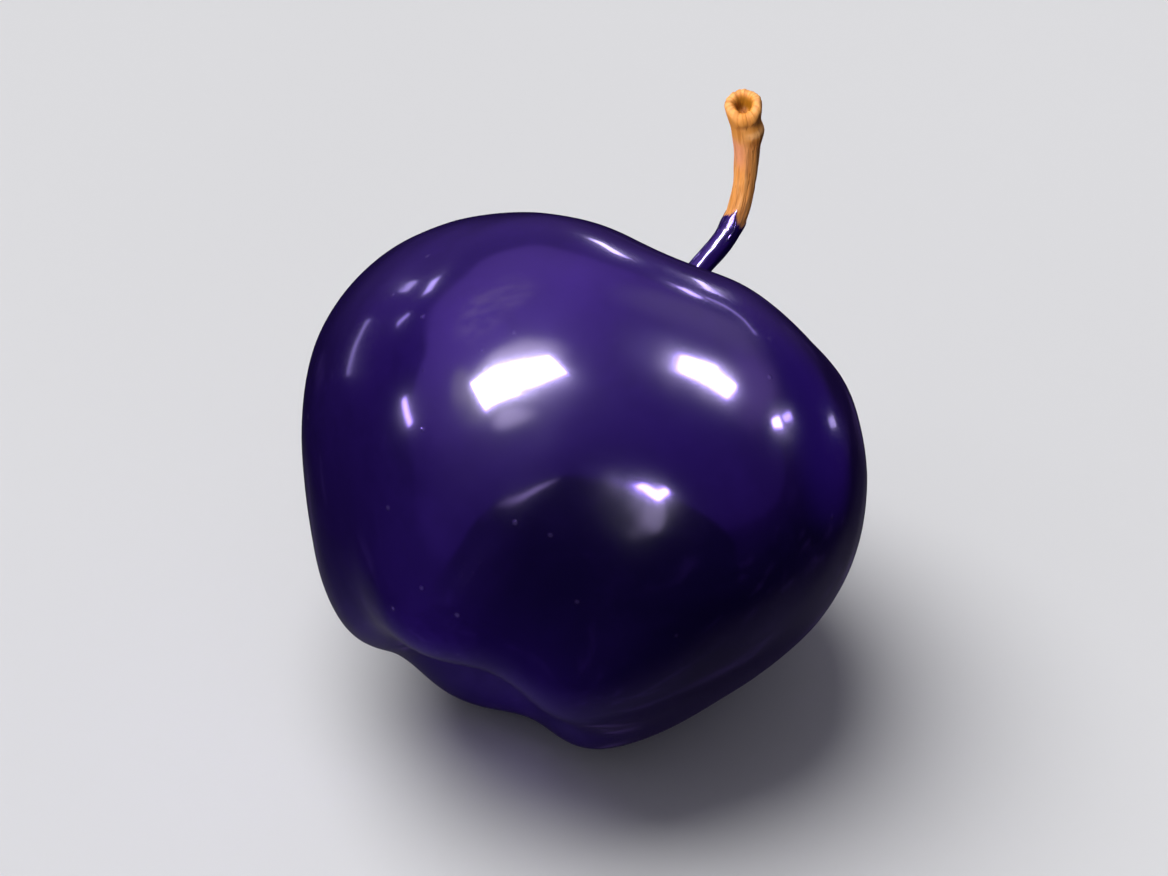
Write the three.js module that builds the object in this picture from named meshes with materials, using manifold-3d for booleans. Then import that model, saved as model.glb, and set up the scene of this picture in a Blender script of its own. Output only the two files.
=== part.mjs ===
// A whole apple with its stem and its dried calyx, lying on its flank as it settles on a table.
// Millimetres, +Z up. The origin is on the table, under the middle of the apple's box.
// Each piece is drawn in the apple's own frame first: its core is on Z, the stem end is up, the
// widest ring is at height 0, and the meridian at angle 0 is the one that meets the table.
import * as THREE from 'three';
import { mergeVertices } from 'three/addons/utils/BufferGeometryUtils.js';
import Module from 'manifold-3d';

const wasm = await Module();
wasm.setup();

// How it lies.
const lean = THREE.MathUtils.degToRad(57.5); // the core, away from upright
const heading = THREE.MathUtils.degToRad(60); // the way the stem end points, seen from above
const flatDepth = 1; // what the small flat spot takes off the round flank

// The fruit, radii and heights from the widest ring.
const girth = 40.2; // radius of the widest ring
const shoulderRadius = 13.3; // ring where the shoulders are highest
const shoulderHeight = 27.9;
const cavityHeight = 19.6; // floor of the stem cavity
const crownRadius = 17; // ring where the calyx end reaches lowest
const crownHeight = -35;
const basinHeight = -28; // floor of the calyx basin

// Soft ribs that run from one end to the other, and what keeps it from being a turned shape.
const ribs = 5;
const ribTurn = THREE.MathUtils.degToRad(28); // meridian of the first rib
const ribSwell = 0.0155; // share of the radius, all along
const crownSwell = 0.014; // more of it at the calyx end
const crownLobe = 0.7; // the ribs end as lobes round the calyx
const shoulderLobe = 0.45; // a wave round the stem, of the same count
const shoulderTurn = THREE.MathUtils.degToRad(9); // meridian of its first rise
const oval = 0.004; // share of the radius
const ovalTurn = THREE.MathUtils.degToRad(94);
const stemShift = 2.9; // the stem end sits off the core by this
const stemShiftTurn = THREE.MathUtils.degToRad(299);

// The stem, in its own bore, and the calyx, in its own pit.
const gap = 0.3; // clearance between neighbouring pieces
const boreRadius = 2.1;
const boreDepth = 5;
const stemRadius = 1.5;
const tipRadius = 2.6; // the end that was joined to the twig
const pitRadius = 3.3;
const pitDepth = 2.4;
const sepals = 5;
const sepalLength = 5.4;
const sepalWidth = 3.6;
const sepalThickness = 0.9;

const aroundFruit = 72;
const alongSkin = 46;
const aroundStem = 16;
const alongStem = 30;

const { smoothstep, clamp } = THREE.MathUtils;
const vec2 = (x, y) => new THREE.Vector2(x, y);
const vec3 = (x, y, z) => new THREE.Vector3(x, y, z);
const stemOffset = vec3(stemShift * Math.cos(stemShiftTurn), stemShift * Math.sin(stemShiftTurn), 0);

// A profile of radii and heights turned about Z.
function turned(profile, segments) {
  return new THREE.LatheGeometry(profile, segments).rotateX(Math.PI / 2);
}

// Runs a function over the points of a geometry, each of which it may move.
function eachPoint(geometry, move) {
  const places = geometry.attributes.position;
  const point = vec3(0, 0, 0);
  for (let i = 0; i < places.count; i += 1) {
    point.fromBufferAttribute(places, i);
    move(point);
    places.setXYZ(i, point.x, point.y, point.z);
  }
  return geometry;
}

// The ribs and the oval section, which don't reach the bore or the pit, and the shifted stem end.
function asGrown(point) {
  const radius = Math.hypot(point.x, point.y);
  const angle = Math.atan2(point.y, point.x);
  const rib = Math.cos(ribs * (angle - ribTurn));
  const wave = Math.cos(ribs * (angle - shoulderTurn));
  const skin = smoothstep(radius, pitRadius, crownRadius * 0.8);
  const crown = smoothstep(-point.z, -crownHeight * 0.45, -crownHeight);
  const shoulder = smoothstep(point.z, shoulderHeight * 0.3, shoulderHeight);
  const swell = (ribSwell + crownSwell * crown) * rib + oval * Math.cos(2 * (angle - ovalTurn));
  const stretch = 1 + skin * swell;
  point.x *= stretch;
  point.y *= stretch;
  point.z -= skin * crown * crownLobe * rib;
  point.z += skin * shoulder * shoulderLobe * wave;
  if (point.z > 0) {
    point.addScaledVector(stemOffset, 1 - smoothstep(radius, shoulderRadius * 0.7, girth * 0.95));
  }
}

// Presses everything past the table back to it. The table's normal is in the apple's own frame.
function restOn(geometry) {
  const down = vec3(Math.cos(Math.PI / 2 - lean), 0, -Math.cos(lean));
  let reach = 0;
  eachPoint(geometry, (point) => {
    reach = Math.max(reach, point.dot(down));
  });
  const table = reach - flatDepth;
  return eachPoint(geometry, (point) => {
    point.addScaledVector(down, -Math.max(0, point.dot(down) - table));
  });
}

function fruitGeometry() {
  const skin = new THREE.SplineCurve([
    vec2(pitRadius, basinHeight),
    vec2(crownRadius * 0.45, basinHeight - 2.3),
    vec2(crownRadius * 0.72, crownHeight + 1.1),
    vec2(crownRadius, crownHeight),
    vec2(crownRadius + 6, crownHeight + 3),
    vec2(girth * 0.75, crownHeight + 11.2),
    vec2(girth * 0.93, -11.5),
    vec2(girth, 0),
    vec2(girth * 0.962, 10),
    vec2(girth * 0.848, 18.8),
    vec2(girth * 0.708, 24.2),
    vec2(girth * 0.533, 27.4),
    vec2(shoulderRadius, shoulderHeight),
    vec2(shoulderRadius * 0.6, shoulderHeight - 3),
    vec2(shoulderRadius * 0.32, cavityHeight + 1.8),
    vec2(boreRadius, cavityHeight),
  ]).getSpacedPoints(alongSkin);
  const profile = [
    vec2(0, basinHeight + pitDepth),
    vec2(pitRadius, basinHeight + pitDepth),
    ...skin,
    vec2(boreRadius, cavityHeight - boreDepth),
    vec2(0, cavityHeight - boreDepth),
  ];
  return restOn(eachPoint(turned(profile, aroundFruit), asGrown));
}

// The stem is turned straight, with a flared end that is hollow where it came off the twig, and
// is then bent along its route. A scar of a lost leaf stands out on one side below the flare.
function stemGeometry() {
  const foot = cavityHeight - boreDepth + gap;
  const route = new THREE.CatmullRomCurve3([
    vec3(0, 0, foot),
    vec3(0, 0, cavityHeight + 2),
    vec3(0, 0, shoulderHeight + 2),
    vec3(-0.1, -2, shoulderHeight + 10.2),
    vec3(-4, -2.2, shoulderHeight + 17.4),
    vec3(-9.2, -1.8, shoulderHeight + 21.6),
    vec3(-15, -1.4, shoulderHeight + 24.6),
  ]);
  const length = route.getLength();
  const outline = new THREE.SplineCurve([
    vec2(boreRadius - gap - 0.1, 0),
    vec2(boreRadius - gap, boreDepth - gap),
    vec2(stemRadius * 1.05, boreDepth + 4),
    vec2(stemRadius, length * 0.4),
    vec2(stemRadius * 1.05, length * 0.62),
    vec2(stemRadius * 1.2, length * 0.8),
    vec2(tipRadius * 0.88, length * 0.93),
    vec2(tipRadius, length * 0.985),
    vec2(tipRadius * 0.75, length),
  ]).getPoints(alongStem);
  const hollow = [vec2(tipRadius * 0.4, length - 1.1), vec2(0, length - 1.5)];
  const straight = turned([vec2(0, 0), ...outline, ...hollow], aroundStem);
  const scarHeight = length * 0.87;
  const across = vec3(0, 1, 0); // square to the plane that the route bends in, near enough
  eachPoint(straight, (point) => {
    const share = clamp(point.z / length, 0, 1);
    const scar = Math.exp(-(((point.z - scarHeight) / 1.6) ** 2)) * Math.max(0, -point.y);
    const tangent = route.getTangentAt(share);
    const side = across.clone().cross(tangent).normalize();
    const front = tangent.cross(side);
    const middle = route.getPointAt(share);
    const { x, y } = point;
    point.copy(middle).addScaledVector(side, x).addScaledVector(front, y - scar * 0.45);
  });
  return straight.translate(stemOffset.x, stemOffset.y, 0);
}

// A closed geometry as a solid that can be joined, and back.
function asSolid(geometry) {
  const bare = geometry.clone();
  bare.deleteAttribute('normal');
  bare.deleteAttribute('uv');
  const merged = mergeVertices(bare);
  const vertProperties = merged.attributes.position.array;
  const triVerts = new Uint32Array(merged.index.array);
  return new wasm.Manifold(new wasm.Mesh({ numProp: 3, vertProperties, triVerts }));
}

function asGeometry(solid) {
  const { vertProperties, triVerts } = solid.getMesh();
  const geometry = new THREE.BufferGeometry();
  geometry.setAttribute('position', new THREE.BufferAttribute(vertProperties, 3));
  geometry.setIndex(new THREE.BufferAttribute(triVerts, 1));
  geometry.computeVertexNormals();
  return geometry;
}

// Five dried sepals on a button that sits in the pit. They point down, as the basin does.
function calyxGeometry() {
  const top = basinHeight + pitDepth - gap;
  const seat = pitRadius - gap;
  const button = turned(
    [
      vec2(0, basinHeight - 1.6),
      vec2(seat * 0.6, basinHeight - 1.3),
      vec2(seat, basinHeight - 0.2),
      vec2(seat, top),
      vec2(0, top),
    ],
    24,
  );
  const leaf = new THREE.Shape();
  leaf.moveTo(-sepalWidth * 0.35, 0);
  leaf.quadraticCurveTo(-sepalWidth * 0.75, sepalLength * 0.45, 0, sepalLength);
  leaf.quadraticCurveTo(sepalWidth * 0.75, sepalLength * 0.45, sepalWidth * 0.35, 0);
  leaf.closePath();
  let solid = asSolid(button);
  for (let i = 0; i < sepals; i += 1) {
    const blade = new THREE.ExtrudeGeometry(leaf, {
      depth: sepalThickness,
      bevelEnabled: false,
      curveSegments: 6,
    });
    blade.translate(0, 0, -sepalThickness / 2);
    eachPoint(blade, (point) => {
      point.z += 1.4 * (point.y / sepalLength) ** 2; // curls outwards
    });
    blade.rotateX(-Math.PI / 2 + 0.25); // hangs from the button and leans out
    blade.translate(0, 1.2, basinHeight + 0.6);
    blade.rotateZ((i / sepals) * 2 * Math.PI + ribTurn);
    solid = solid.add(asSolid(blade));
  }
  return asGeometry(solid);
}

function piece(name, geometry, color, roughness) {
  const material = new THREE.MeshStandardMaterial({ color, roughness, metalness: 0 });
  const mesh = new THREE.Mesh(geometry, material);
  mesh.name = name;
  return mesh;
}

const apple = new THREE.Group();
apple.add(piece('fruit', fruitGeometry(), 0x2a1566, 0.08));
apple.add(piece('stem', stemGeometry(), 0xc9842e, 0.6));
apple.add(piece('calyx', calyxGeometry(), 0x1c0f40, 0.15));
apple.rotation.set(0, lean, heading, 'ZYX');

// The table is at height 0, and the origin is under the middle of the box.
const box = new THREE.Box3().setFromObject(apple, true);
const middle = box.getCenter(vec3(0, 0, 0));
apple.position.set(-middle.x, -middle.y, -box.min.z);

const part = new THREE.Group();
part.add(apple);

export default part;
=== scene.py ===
# A whole apple in a thick, glossy violet coat, lying on its flank, with a bent woody stem and a dried calyx.
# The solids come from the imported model. This script makes the skin, stem and calyx that are shown over them.
import math

import bmesh
import bpy
import numpy as np
from mathutils import Euler, Matrix, Vector


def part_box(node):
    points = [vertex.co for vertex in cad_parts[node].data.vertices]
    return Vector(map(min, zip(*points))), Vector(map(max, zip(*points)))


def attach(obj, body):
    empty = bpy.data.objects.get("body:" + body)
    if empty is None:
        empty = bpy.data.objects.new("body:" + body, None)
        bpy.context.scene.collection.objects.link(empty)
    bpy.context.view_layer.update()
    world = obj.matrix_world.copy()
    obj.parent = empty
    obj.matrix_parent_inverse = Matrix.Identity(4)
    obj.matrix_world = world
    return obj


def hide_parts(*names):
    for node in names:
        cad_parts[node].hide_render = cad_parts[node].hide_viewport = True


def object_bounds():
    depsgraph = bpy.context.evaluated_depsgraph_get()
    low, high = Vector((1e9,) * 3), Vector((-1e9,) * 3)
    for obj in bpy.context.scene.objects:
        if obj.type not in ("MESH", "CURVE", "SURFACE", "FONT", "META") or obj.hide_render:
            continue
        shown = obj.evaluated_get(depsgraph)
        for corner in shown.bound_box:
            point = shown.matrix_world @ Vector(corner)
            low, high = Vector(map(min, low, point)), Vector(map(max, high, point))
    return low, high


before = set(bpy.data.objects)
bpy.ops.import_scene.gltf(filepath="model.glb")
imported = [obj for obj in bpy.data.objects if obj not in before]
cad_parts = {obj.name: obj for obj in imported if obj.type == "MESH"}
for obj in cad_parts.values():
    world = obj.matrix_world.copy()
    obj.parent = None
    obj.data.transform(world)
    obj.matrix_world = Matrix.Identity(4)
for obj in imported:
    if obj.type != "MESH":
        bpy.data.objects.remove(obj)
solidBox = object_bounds()
print("solids:", ", ".join(sorted(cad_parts)))

mm = 0.001  # the apple is drawn in millimetres in its own frame, and then laid down


class Wire:  # one socket of a node tree: sums on it add Math nodes, and node() adds any other kind
    def __init__(self, tree, socket=None):
        self.tree = tree
        self.socket = socket

    def node(self, kind, settings=None, values=None, out=0):
        made = self.tree.nodes.new(kind)
        for name, value in (settings or {}).items():
            setattr(made, name, value)
        for name, value in (values or {}).items():
            socket = pick(made.inputs, name)
            if isinstance(value, Wire):
                self.tree.links.new(value.socket, socket)
            else:
                socket.default_value = value
        return Wire(self.tree, pick(made.outputs, out) if made.outputs else None)

    def other(self, name):  # another output of the same node
        return Wire(self.tree, pick(self.socket.node.outputs, name))

    def maths(self, operation, *values):
        return self.node("ShaderNodeMath", {"operation": operation}, dict(enumerate(values)))

    def __add__(self, other):
        return self.maths("ADD", self, other)

    def __sub__(self, other):
        return self.maths("SUBTRACT", self, other)

    def __rsub__(self, other):
        return self.maths("SUBTRACT", other, self)

    def __mul__(self, other):
        return self.maths("MULTIPLY", self, other)

    def __truediv__(self, other):
        return self.maths("DIVIDE", self, other)

    def __rtruediv__(self, other):
        return self.maths("DIVIDE", other, self)

    def __pow__(self, other):
        return self.maths("POWER", self, other)

    def __rpow__(self, other):
        return self.maths("POWER", other, self)

    def __neg__(self):
        return self.maths("MULTIPLY", self, -1.0)

    __radd__ = __add__
    __rmul__ = __mul__

    def cosine(self):
        return self.maths("COSINE", self)

    def sine(self):
        return self.maths("SINE", self)

    def most(self, other):
        return self.maths("MAXIMUM", self, other)

    def step(self, low, high):  # 0 up to low, 1 from high, smooth between
        return self.node(
            "ShaderNodeMapRange",
            {"interpolation_type": "SMOOTHSTEP"},
            {"Value": self, "From Min": low, "From Max": high},
        )

    def band(self, rise, fall):  # up over the one stretch and down over the other
        return self.step(*rise) * (1 - self.step(*fall))

    def vector(self, operation, *values, out="Vector"):
        return self.node("ShaderNodeVectorMath", {"operation": operation}, dict(enumerate(values)), out)

    def joined(self, x, y, z):
        return self.node("ShaderNodeCombineXYZ", {}, {"X": x, "Y": y, "Z": z})

    def apart(self):  # a vector's three numbers
        split = self.node("ShaderNodeSeparateXYZ", {}, {"Vector": self}).socket.node
        return [Wire(self.tree, socket) for socket in split.outputs]

    def plus(self, *steps):  # vectors one after another
        total = self
        for step in steps:
            total = self.vector("ADD", total, step)
        return total

    def scaled(self, place, factor):  # a vector times a number
        values = {0: place, "Scale": factor}
        return self.node("ShaderNodeVectorMath", {"operation": "SCALE"}, values, "Vector")

    def stretched(self, *factors):  # a vector times a number for each axis
        return self.vector("MULTIPLY", self, factors)

    def length(self):
        return self.vector("LENGTH", self, out="Value")

    def along(self, direction):
        return self.vector("DOT_PRODUCT", self, tuple(direction), out="Value")

    def noise(self, place, size, detail=2.0, roughness=0.5, warp=0.0):  # 0 to 1
        look = {"Detail": detail, "Roughness": roughness, "Distortion": warp}
        return self.node("ShaderNodeTexNoise", {}, {"Vector": place, "Scale": 1.0 / size, **look})

    def mixed(self, first, second, share):  # two colours
        return self.node(
            "ShaderNodeMix", {"data_type": "RGBA"},
            {"Factor_Float": share, "A_Color": first, "B_Color": second}, "Result_Color",
        )


def pick(sockets, name):  # by its place, by its identifier, or else by its label
    if isinstance(name, int):
        return sockets[name]
    known = {socket.identifier: socket for socket in sockets}
    return known[name] if name in known else sockets[name]


def colour(red, green, blue):
    return (red, green, blue, 1.0)


def newTree(name, sizes):  # a geometry tree with a named input for each size
    tree = bpy.data.node_groups.new(name, "GeometryNodeTree")
    tree.interface.new_socket("Geometry", in_out="INPUT", socket_type="NodeSocketGeometry")
    for label, value in sizes.items():
        kind = {int: "Int", float: "Float"}.get(type(value), "Object")
        tree.interface.new_socket(label, in_out="INPUT", socket_type="NodeSocket" + kind)
    tree.interface.new_socket("Geometry", in_out="OUTPUT", socket_type="NodeSocketGeometry")
    start = tree.nodes.new("NodeGroupInput")
    return Wire(tree), {socket.name: Wire(tree, socket) for socket in start.outputs if socket.name}


def endTree(root, geometry, material):
    smooth = root.node("GeometryNodeSetShadeSmooth", {}, {"Geometry": geometry})
    real = root.node("GeometryNodeRealizeInstances", {}, {"Geometry": smooth})
    painted = root.node("GeometryNodeSetMaterial", {}, {"Geometry": real, "Material": material})
    root.node("NodeGroupOutput", {}, {"Geometry": painted})
    return root.tree


def grown(name, mesh, tree, sizes):  # runs a tree on a mesh and keeps what comes out as a plain mesh
    piece = bpy.data.objects.new(name, mesh)
    bpy.context.scene.collection.objects.link(piece)
    modifier = piece.modifiers.new(tree.name, "NODES")
    modifier.node_group = tree
    for item in tree.interface.items_tree:
        if item.in_out == "INPUT" and item.name in sizes:
            modifier[item.identifier] = sizes[item.name]
    shown = piece.evaluated_get(bpy.context.evaluated_depsgraph_get())
    kept = bpy.data.meshes.new_from_object(shown)
    kept.name = name
    piece.modifiers.clear()
    piece.data = kept
    outward = bmesh.new()
    outward.from_mesh(kept)
    bmesh.ops.recalc_face_normals(outward, faces=outward.faces)
    outward.to_mesh(kept)
    outward.free()
    return piece


def smoothLine(points, count):  # a natural cubic through the points, in even steps of length
    points = np.array(points, float)
    knots = np.concatenate([[0.0], np.cumsum(np.linalg.norm(np.diff(points, axis=0), axis=1))])
    spans = np.diff(knots)
    size = len(points)
    system = np.eye(size)
    target = np.zeros_like(points)
    for i in range(1, size - 1):
        system[i, i - 1 : i + 2] = spans[i - 1], 2 * (spans[i - 1] + spans[i]), spans[i]
        target[i] = 6 * ((points[i + 1] - points[i]) / spans[i] - (points[i] - points[i - 1]) / spans[i - 1])
    bends = np.linalg.solve(system, target)

    def at(places):
        i = np.clip(np.searchsorted(knots, places, side="right") - 1, 0, size - 2)
        span = spans[i][:, None]
        right = (places - knots[i])[:, None] / span
        left = 1 - right
        curve = (left**3 - left) * bends[i] + (right**3 - right) * bends[i + 1]
        return left * points[i] + right * points[i + 1] + curve * span**2 / 6

    fine = at(np.linspace(0, knots[-1], count * 8))
    walked = np.concatenate([[0.0], np.cumsum(np.linalg.norm(np.diff(fine, axis=0), axis=1))])
    even = np.linspace(0, walked[-1], count)
    return np.stack([np.interp(even, walked, fine[:, k]) for k in range(points.shape[1])], 1)


def upright(outline):  # radii and heights as points
    return [(radius, 0, height) for radius, height in outline]


def lineMesh(name, points):
    mesh = bpy.data.meshes.new(name)
    edges = [(i, i + 1) for i in range(len(points) - 1)]
    mesh.from_pydata([tuple(map(float, point)) for point in points], edges, [])
    return mesh


def helper(name, points):  # a line that a tree reads, removed once the piece is made
    line = bpy.data.objects.new(name, lineMesh(name, points))
    bpy.context.scene.collection.objects.link(line)
    return line


def sheet(root, around, along):  # a sheet to be wrapped: its mesh, the angle round and the share along
    counts = {"Vertices X": around, "Vertices Y": along}
    grid = root.node("GeometryNodeMeshGrid", {}, {"Size X": 1.0, "Size Y": 1.0, **counts})
    across, up, _ = root.node("GeometryNodeInputPosition").apart()
    return grid, (across + 0.5) * (2 * math.pi), up + 0.5


def wrapped(root, grid, spot, weld):  # moves a sheet's points to their spots, and welds its seam and poles
    bent = root.node("GeometryNodeSetPosition", {}, {"Geometry": grid, "Position": spot})
    return root.node("GeometryNodeMergeByDistance", {}, {"Geometry": bent, "Distance": weld})


def pushed(root, geometry, offset):
    return root.node("GeometryNodeSetPosition", {}, {"Geometry": geometry, "Offset": offset})


def pointAt(root, line, share, mode="FACTOR"):  # a point of a line, by its share or by its length
    curve = root.node("GeometryNodeMeshToCurve", {}, {"Mesh": line})
    values = {"Curves": curve, "Factor" if mode == "FACTOR" else "Length": share}
    return root.node("GeometryNodeSampleCurve", {"mode": mode}, values, "Position")


def shapeOf(root, line):
    return root.node("GeometryNodeObjectInfo", {}, {"Object": line}, "Geometry")


def stored(root, geometry, name, value, kind="FLOAT"):
    return root.node(
        "GeometryNodeStoreNamedAttribute", {"data_type": kind, "domain": "POINT"},
        {"Geometry": geometry, "Name": name, "Value": value},
    )


def uneven(root, angle, run, pattern):  # a noise from -0.5 to 0.5, wound round the core or the stem
    (around, along), size, detail, roughness = pattern
    place = root.joined(angle.cosine() * around, angle.sine() * around, run * along)
    return root.noise(place, size, detail, roughness) - 0.5


def mark(root, name, out="Fac"):  # what a tree stored, read back by a finish
    return root.node("ShaderNodeAttribute", {"attribute_name": name}, {}, out)


pose = {
    "lean": 57.5,  # the core, away from upright
    "heading": 60.0,  # the way the stem end points, seen from above
    "flatDepth": 1.0,  # what the flat spot takes off the round flank
    "stemShift": 2.9,  # the stem end sits off the core by this
    "stemShiftTurn": 299.0,
}
lean = math.radians(pose["lean"])
turning = Euler((0, lean, math.radians(pose["heading"])), "XYZ").to_matrix().to_4x4()
down = Vector((math.sin(lean), 0, -math.cos(lean)))  # the table's normal in the apple's own frame
shiftTurn = math.radians(pose["stemShiftTurn"])
stemOffset = Vector((math.cos(shiftTurn), math.sin(shiftTurn), 0)) * pose["stemShift"]


def fromStem(root, x, y):  # how far a place is from the line that the stem stands on
    return root.joined(x - stemOffset.x, y - stemOffset.y, 0.0).length()


skin = {
    "girth": 40.2,  # radius of the widest ring
    "shoulderRadius": 13.3,
    "shoulderHeight": 27.9,
    "cavityHeight": 19.6,
    "crownRadius": 17.0,
    "crownHeight": -35.0,
    "basinHeight": -28.0,
    "pitRadius": 3.3,
    "boreDepth": 5.0,
    "collarHeight": 3.4,  # how far the coat climbs up the stem
    "collarRadius": 1.86,
    "collarWall": 0.1,
    "profilePoints": 2400,
    "folds": ((11.0, 9.0), 3.6, 1.5, 0.45),  # pace round the core and along it, size, detail, roughness
    "streaks": ((26.0, 22.0), 8.0, 1.0, 0.5),
    "basinFolds": ((2.6, 5.2), (6.5, 15.0)),  # radii between which the folds rise and then run out
    "cavityFolds": ((3.2, 5.5), (7.0, 14.0)),
    "calm": (3.0, 8.0),  # distances from the stem between which the lumps begin
    "flatSoftness": 0.7,  # width of the soft edge round the flat spot
    "weld": 0.0008,
}
skinSizes = {
    "Around": 300,
    "Along": 250,
    "Ribs": 5.0,
    "Rib Turn": math.radians(28),
    "Rib Swell": 0.0155,
    "Crown Swell": 0.014,
    "Crown Lobe": 0.7,
    "Shoulder Lobe": 0.45,
    "Shoulder Turn": math.radians(9),
    "Oval": 0.004,
    "Oval Turn": math.radians(94),
    "Pucker": 0.55,  # folds that run into the basin
    "Cavity Ridge": 0.22,
    "Streak Relief": 0.16,
    "Lump Size": 17.0,
    "Lump Height": 0.28,
    "Ripple Size": 6.5,
    "Ripple Height": 0.035,
    "Flat Depth": pose["flatDepth"],
}


def skinProfile():
    girth, crown, crownZ = skin["girth"], skin["crownRadius"], skin["crownHeight"]
    basin, pit = skin["basinHeight"], skin["pitRadius"]
    shoulder, shoulderZ, cavity = skin["shoulderRadius"], skin["shoulderHeight"], skin["cavityHeight"]
    collar, collarTop = skin["collarRadius"], cavity + skin["collarHeight"]
    bore, boreFloor = collar - skin["collarWall"], cavity - skin["boreDepth"]
    outer = [
        (0, basin + 0.9), (pit * 0.55, basin + 0.75), (pit, basin - 0.1), (crown * 0.45, basin - 2.3),
        (crown * 0.72, crownZ + 1.1), (crown, crownZ), (crown + 6, crownZ + 3),
        (girth * 0.75, crownZ + 11.2), (girth * 0.93, -11.5), (girth, 0), (girth * 0.962, 10),
        (girth * 0.848, 18.8), (girth * 0.708, 24.2), (girth * 0.533, 27.4), (shoulder, shoulderZ),
        (shoulder * 0.6, shoulderZ - 3), (shoulder * 0.32, cavity + 1.5), (2.75, cavity + 0.75),
        (collar + 0.22, cavity + 1.7), (collar, collarTop),
    ]
    inner = [
        (collar - 0.05, collarTop + 0.06), (bore - 0.01, collarTop - 0.1), (bore, boreFloor), (0, boreFloor),
    ]
    return upright([*smoothLine(outer, skin["profilePoints"]), *inner])


def skinTree(material):
    root, given = newTree("grownSkin", skinSizes)
    grid, angle, share = sheet(root, given["Around"], given["Along"])
    radius, _, height = pointAt(root, given["Geometry"], share).apart()

    # Ribs, lobes and an oval section, none of which reaches the bore or the pit.
    rib = ((angle - given["Rib Turn"]) * given["Ribs"]).cosine()
    wave = ((angle - given["Shoulder Turn"]) * given["Ribs"]).cosine()
    oval = ((angle - given["Oval Turn"]) * 2.0).cosine() * given["Oval"]
    onSkin = radius.step(skin["pitRadius"], skin["crownRadius"] * 0.8)
    crown = (-height).step(-skin["crownHeight"] * 0.45, -skin["crownHeight"])
    shoulder = height.step(skin["shoulderHeight"] * 0.3, skin["shoulderHeight"])
    swell = (given["Rib Swell"] + given["Crown Swell"] * crown) * rib + oval
    wide = radius * (1 + onSkin * swell)
    tall = height - onSkin * crown * given["Crown Lobe"] * rib
    tall = tall + onSkin * shoulder * given["Shoulder Lobe"] * wave

    # Folds that gather into the basin and the cavity, and streaks. All change quickly round the core.
    fold = uneven(root, angle, share, skin["folds"])
    basinZone = radius.band(*skin["basinFolds"]) * crown
    cavityZone = radius.band(*skin["cavityFolds"]) * height.step(0.0, 5.0)
    tall = tall + fold * (basinZone * given["Pucker"] * 2.0 + cavityZone * given["Cavity Ridge"] * 2.0)
    wide = wide + uneven(root, angle, share, skin["streaks"]) * given["Streak Relief"] * 2.0 * onSkin

    # The stem end is off the core.
    shifted = (1 - radius.step(skin["shoulderRadius"] * 0.7, skin["girth"] * 0.95)) * height.step(-0.5, 0.5)
    x = wide * angle.cosine() + shifted * stemOffset.x
    y = wide * angle.sine() + shifted * stemOffset.y
    closed = wrapped(root, grid, root.joined(x, y, tall), skin["weld"])

    # Shallow lumps and a slow ripple in the coat, along the normal, fading out at the stem.
    place = root.node("GeometryNodeInputPosition")
    lump = (root.noise(place, given["Lump Size"], 1.0, 0.35) - 0.5) * given["Lump Height"] * 2.0
    ripple = (root.noise(place, given["Ripple Size"], 1.0, 0.4) - 0.5) * given["Ripple Height"] * 2.0
    x, y, z = place.apart()
    calm = 1 - (1 - fromStem(root, x, y).step(*skin["calm"])) * z.step(0.0, 5.0)
    normal = root.node("GeometryNodeInputNormal")
    lumpy = pushed(root, closed, root.scaled(normal, (lump + ripple) * calm))

    # The flank settles on the table.
    reach = place.along(down)
    values = {"Geometry": lumpy, "Attribute": reach}
    table = root.node("GeometryNodeAttributeStatistic", {}, values, "Max") - given["Flat Depth"]
    pressed = root.maths("SMOOTH_MIN", reach, table, skin["flatSoftness"])
    resting = pushed(root, lumpy, root.scaled(tuple(down), pressed - reach))
    return endTree(root, stored(root, resting, "ownPlace", place, "FLOAT_VECTOR"), material)


def newFinish(name):  # a material, and object coordinates in millimetres for its patterns
    finish = bpy.data.materials.new(name)
    finish.use_nodes = True
    finish.node_tree.nodes.clear()
    root = Wire(finish.node_tree)
    return finish, root, root.scaled(root.node("ShaderNodeTexCoord", {}, {}, "Object"), 1 / mm)


def endFinish(root, shader):
    root.node("ShaderNodeOutputMaterial", {}, {"Surface": shader})


def blended(root, first, second, share):  # two shaders
    return root.node("ShaderNodeMixShader", {}, {"Fac": share, 1: first, 2: second})


def bumped(root, height):  # a height in millimetres
    return root.node("ShaderNodeBump", {}, {"Strength": 1.0, "Distance": mm, "Height": height})


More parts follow.
